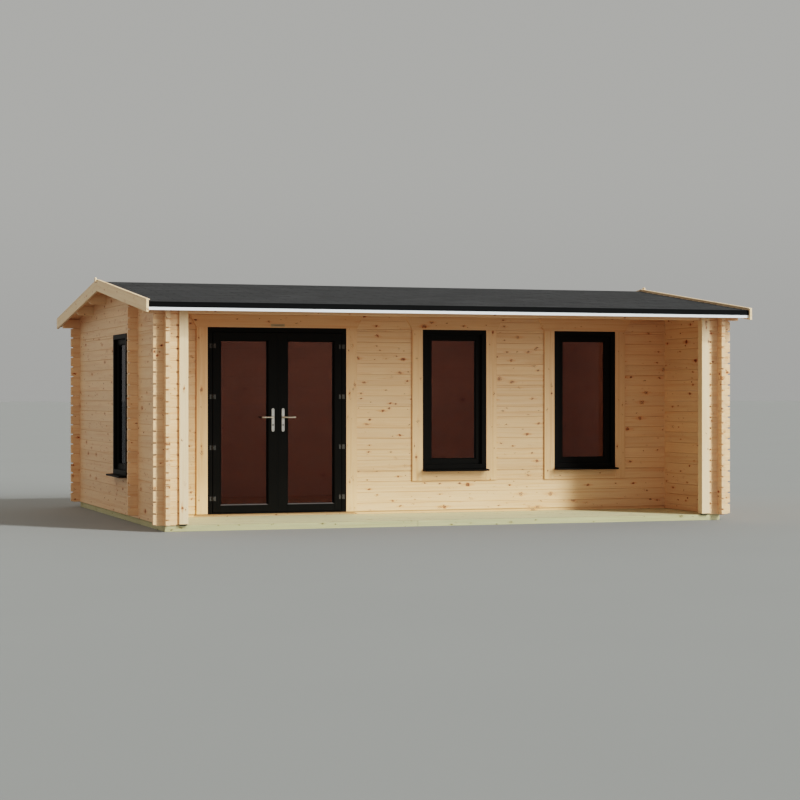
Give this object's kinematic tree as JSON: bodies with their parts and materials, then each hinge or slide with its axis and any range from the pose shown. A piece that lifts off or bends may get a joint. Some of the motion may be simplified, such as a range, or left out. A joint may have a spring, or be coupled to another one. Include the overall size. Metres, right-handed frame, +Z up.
{
  "type": "log cabin",
  "caption": "Log cabin of interlocking pine logs under a low gable roof, with an open veranda on corner posts, a glazed double door and dark framed windows.",
  "frame": {"origin": "ground level, in the middle of the roof's plan", "axes": "+Z up, -Y towards the veranda side, +X to the right seen from the veranda"},
  "size_m": [6.486, 5.274, 2.5847],
  "materials": {
    "treated_timber": "rough",
    "pine_floor": "matte",
    "pine_logs": "satin",
    "pine_beams": "satin",
    "pine_boards": "satin",
    "roof_felt": "matte",
    "black_edge": "satin",
    "white_fascia": "satin",
    "black_frames": "satin",
    "tinted_glass": "polished",
    "satin_metal": "satin",
    "hinge_metal": "satin"
  },
  "bodies": {
    "cabin": {"bearers": "treated_timber", "veranda_floor": "treated_timber", "room_floor": "pine_floor", "left_wall": "pine_logs", "right_wall": "pine_logs", "back_wall": "pine_logs", "front_wall_left": "pine_logs", "front_wall_over_door": "pine_logs", "front_wall_right": "pine_logs", "left_return": "pine_logs", "right_return": "pine_logs", "header_log": "pine_logs", "wall_sole": "pine_logs", "corner_posts": "pine_beams", "ridge_purlin": "pine_beams", "front_purlins": "pine_beams", "back_purlins": "pine_beams", "left_barge_boards": "pine_beams", "right_barge_boards": "pine_beams", "barge_caps": "pine_beams", "ridge_blocks": "pine_beams", "front_roof_boards": "pine_boards", "back_roof_boards": "pine_boards", "door_trim": "pine_boards", "window_trim": "pine_boards", "front_roof_cover": "roof_felt", "back_roof_cover": "roof_felt", "eave_edges": "black_edge", "eave_fascias": "white_fascia", "door_frame": "black_frames", "front_window_1": "black_frames", "front_window_2": "black_frames", "side_window": "black_frames", "window_sills": "black_frames", "window_glass": "tinted_glass", "frame_hinges": "hinge_metal", "vent_plate": "hinge_metal"},
    "left_door": {"left_door_leaf": "black_frames", "left_door_glass": "tinted_glass", "left_door_plates": "satin_metal", "left_door_hinges": "hinge_metal"},
    "right_door": {"right_door_leaf": "black_frames", "right_door_glass": "tinted_glass", "right_door_plates": "satin_metal", "right_door_hinges": "hinge_metal"},
    "left_lever": {"left_door_lever": "satin_metal"},
    "right_lever": {"right_door_lever": "satin_metal"}
  },
  "joints": [
    {"name": "left_door_hinge", "type": "hinge", "parent": "cabin", "child": "left_door", "pos_m": [-2.2205, -1.145, 1.04], "axis": [0, 0, -1], "range_deg": [0, 100]},
    {"name": "right_door_hinge", "type": "hinge", "parent": "cabin", "child": "right_door", "pos_m": [-0.8235, -1.145, 1.04], "axis": [0, 0, 1], "range_deg": [0, 100]},
    {"name": "left_lever_turn", "type": "hinge", "parent": "left_door", "child": "left_lever", "pos_m": [-1.5765, -1.108, 1.091], "axis": [0, -1, 0], "range_deg": [0, 40], "stiffness_Nm_per_rad": 2, "springref_deg": -28.65},
    {"name": "right_lever_turn", "type": "hinge", "parent": "right_door", "child": "right_lever", "pos_m": [-1.4675, -1.108, 1.091], "axis": [0, 1, 0], "range_deg": [0, 40], "stiffness_Nm_per_rad": 2, "springref_deg": -28.65}
  ]
}
